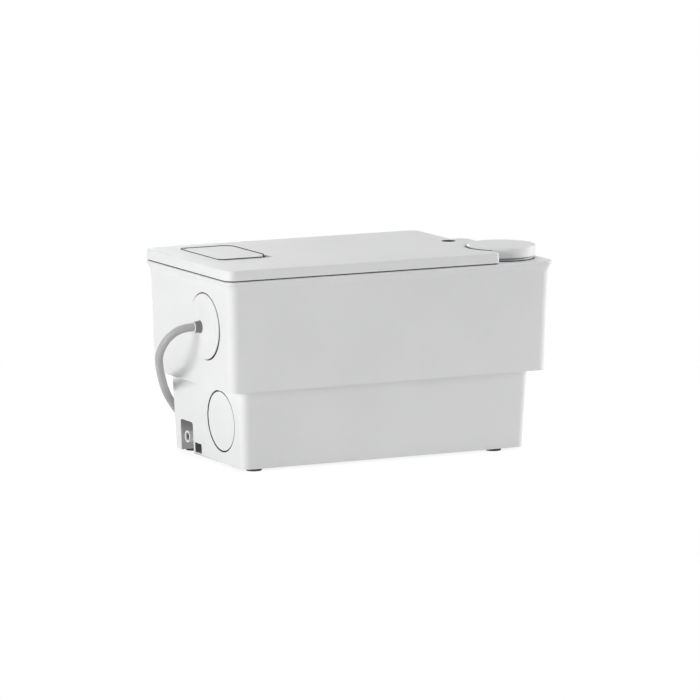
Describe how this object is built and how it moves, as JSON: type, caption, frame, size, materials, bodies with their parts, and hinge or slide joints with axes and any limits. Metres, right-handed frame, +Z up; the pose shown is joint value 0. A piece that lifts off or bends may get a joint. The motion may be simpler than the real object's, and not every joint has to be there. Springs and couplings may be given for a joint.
{
  "type": "sewage lifting unit",
  "caption": "Compact two-tier waste-water lifting unit: flat lid with hatch, outlet cap, end ports, sump, pump motor, float switch and check valve, with its mains cord.",
  "frame": {"origin": "centre of the footprint, on the floor that the feet stand on", "axes": "+X along the tank away from the cable end, +Y to the back, +Z up"},
  "size_m": [0.4442, 0.3731, 0.2256],
  "materials": {
    "white_shell": "fine matte grain",
    "white_cap": "smooth satin",
    "inner_plastic": "matte",
    "dark_plastic": "matte",
    "black_rubber": "matte",
    "cord_grey": "matte cord sheath",
    "motor_metal": "cast, satin",
    "steel": "satin",
    "laminations": "dark varnish",
    "copper_wire": "enamelled copper",
    "board_green": "lacquered",
    "carbon_block": "open foam",
    "pin_metal": "bright"
  },
  "bodies": {
    "unit": {"tank": "white_shell", "cover_frame": "white_shell", "lid": "white_shell", "outlet_fitting": "inner_plastic", "cable_cover": "white_cap", "gland_nut": "white_cap", "strain_relief": "dark_plastic", "feet": "black_rubber", "lid_seal": "black_rubber", "frame_seal": "black_rubber", "cable_cover_seal": "black_rubber", "deck_seal": "black_rubber", "inlet_sleeve_right": "black_rubber", "riser_hose": "black_rubber", "lid_screw": "steel", "frame_screws": "steel", "deck_screws": "steel", "motor_screws": "steel", "hatch_pins": "steel", "hose_clamps": "steel", "lower_bearing": "steel", "upper_bearing": "steel", "pump_deck": "inner_plastic", "volute": "inner_plastic", "suction_cover": "dark_plastic", "pressure_pipe": "inner_plastic", "valve_body": "inner_plastic", "valve_top": "inner_plastic", "float_guide": "inner_plastic", "level_switch": "dark_plastic", "control_box": "dark_plastic", "control_box_lid": "dark_plastic", "circuit_board": "board_green", "run_capacitor": "white_cap", "motor_housing": "motor_metal", "motor_cover": "motor_metal", "stator": "laminations", "windings": "copper_wire", "shaft_seal": "black_rubber", "filter_tray": "inner_plastic", "carbon_filter": "carbon_block", "inner_cable": "cord_grey", "motor_cable": "dark_plastic", "cord_free": "cord_grey", "cord_coil": "cord_grey", "mains_plug": "cord_grey", "plug_pins": "pin_metal"},
    "hatch_body": {"hatch": "white_shell"},
    "cap_body": {"outlet_cap": "white_cap"},
    "left_plug_body": {"inlet_plug_left": "white_shell", "plug_seal_left": "black_rubber"},
    "flap_body": {"inlet_flap_right": "black_rubber"},
    "drain_plug_body": {"drain_plug": "black_rubber"},
    "rotor_body": {"rotor": "laminations", "shaft": "steel", "impeller": "dark_plastic", "impeller_nut": "steel"},
    "ball_body": {"valve_ball": "black_rubber"},
    "float_body": {"float": "inner_plastic", "float_rod": "steel"}
  },
  "joints": [
    {"name": "hatch_hinge", "type": "hinge", "parent": "unit", "child": "hatch_body", "pos_m": [-0.1625, 0.029, 0.22175], "axis": [0, -1, 0], "range_deg": [0, 85]},
    {"name": "cap_lift", "type": "slide", "parent": "unit", "child": "cap_body", "axis": [0, 0, 1], "range_m": [0, 0.06]},
    {"name": "left_plug_out", "type": "slide", "parent": "unit", "child": "left_plug_body", "axis": [-1, 0, 0], "range_m": [0, 0.04]},
    {"name": "flap_swing", "type": "hinge", "parent": "unit", "child": "flap_body", "pos_m": [0.15165, -0.0371, 0.075], "axis": [0, 1, 0], "range_deg": [0, 60]},
    {"name": "drain_plug_out", "type": "slide", "parent": "unit", "child": "drain_plug_body", "axis": [-1, 0, 0], "range_m": [0, 0.02]},
    {"name": "rotor_spin", "type": "hinge", "parent": "unit", "child": "rotor_body", "pos_m": [0.03, -0.012, 0.12], "axis": [0, 0, 1], "continuous": true},
    {"name": "ball_lift", "type": "slide", "parent": "unit", "child": "ball_body", "axis": [0, 0, 1], "range_m": [0, 0.008]},
    {"name": "float_lift", "type": "slide", "parent": "unit", "child": "float_body", "axis": [0, 0, 1], "range_m": [0, 0.03]}
  ]
}
